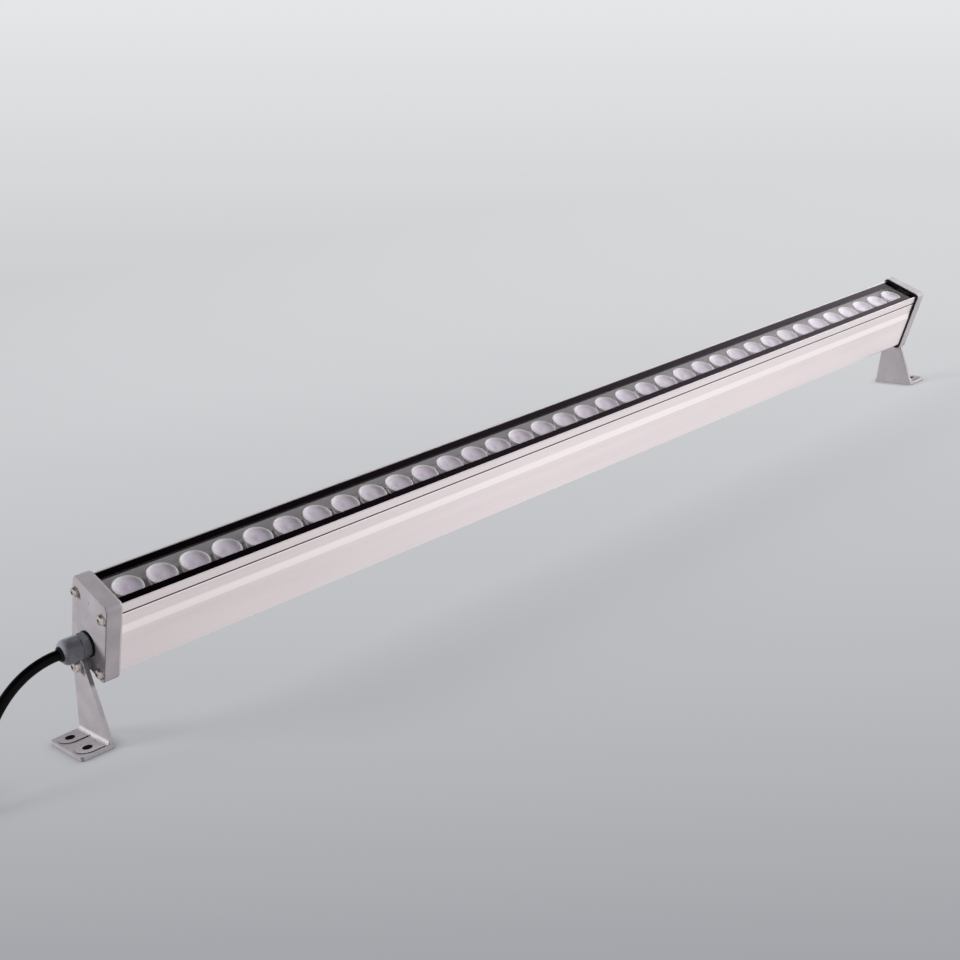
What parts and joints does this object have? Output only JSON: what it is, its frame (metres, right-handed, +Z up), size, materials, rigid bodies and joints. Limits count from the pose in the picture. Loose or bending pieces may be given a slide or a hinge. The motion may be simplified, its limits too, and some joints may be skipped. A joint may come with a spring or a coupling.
{
  "type": "wall washer light",
  "caption": "Long outdoor wall washer light: aluminium housing, a row of round lenses behind glass, cable gland and lead, on two turning foot brackets.",
  "frame": {"origin": "centre of the box round the light without its cable, at the surface that the feet stand on", "axes": "+X along the housing, away from the cable end; +Y away from the side that the glass leans to; +Z up"},
  "size_m": [1.2619, 0.1205, 0.125],
  "materials": {
    "anodised_aluminium": "satin anodised extrusion",
    "glass": "clear toughened glass",
    "black_enamel": "black enamel print",
    "grey_rubber": "matte silicone",
    "board": "solder mask on an aluminium board",
    "led_chip": "silicone dome on a white base",
    "lens": "clear moulded acrylic with a frosted cone",
    "lens_holder": "moulded",
    "steel": "stainless steel",
    "driver_case": "plain sheet case",
    "supply_wire": "insulated wire",
    "output_wire": "insulated wire",
    "grey_coat": "fine powder coat",
    "black_rubber": "matte rubber",
    "gland_plastic": "moulded nylon",
    "cable_jacket": "smooth rubber jacket",
    "tie": "nylon",
    "core_insulation": "coloured insulation with bare copper ends"
  },
  "bodies": {
    "housing": {"housing_extrusion": "anodised_aluminium", "front_glass": "glass", "glass_border_front": "black_enamel", "glass_border_back": "black_enamel", "glass_seal_front": "grey_rubber", "glass_seal_back": "grey_rubber", "led_board_left": "board", "led_board_right": "board", "led_chips": "led_chip", "lenses": "lens", "lens_holders": "lens_holder", "board_screws": "steel", "driver": "driver_case", "driver_pads": "grey_rubber", "supply_wires": "supply_wire", "output_wires": "output_wire", "end_cap_left": "grey_coat", "end_cap_right": "grey_coat", "end_gasket_left": "black_rubber", "end_gasket_right": "black_rubber", "cap_screws_left": "steel", "cap_screws_right": "steel", "cap_screw_washers_left": "steel", "cap_screw_washers_right": "steel", "gland_washer": "black_rubber", "gland_body": "gland_plastic", "gland_nut": "gland_plastic", "gland_seal": "black_rubber", "gland_locknut": "gland_plastic", "cable_in_gland": "cable_jacket", "pivot_screw_left": "steel", "pivot_screw_right": "steel", "pivot_washer_left": "steel", "pivot_washer_right": "steel", "spring_washer_left": "steel", "spring_washer_right": "steel", "cable_lead": "cable_jacket", "cable_coil": "cable_jacket", "cable_tie": "tie", "cable_cores": "core_insulation"},
    "left_bracket": {"bracket_left": "grey_coat"},
    "right_bracket": {"bracket_right": "grey_coat"}
  },
  "joints": [
    {"name": "left_bracket_pivot", "type": "hinge", "parent": "housing", "child": "left_bracket", "pos_m": [-0.515, 0.01102, 0.059], "axis": [1, 0, 0], "range_deg": [-55, 100]},
    {"name": "right_bracket_pivot", "type": "hinge", "parent": "housing", "child": "right_bracket", "pos_m": [0.515, 0.01102, 0.059], "axis": [1, 0, 0], "range_deg": [-55, 100]}
  ]
}
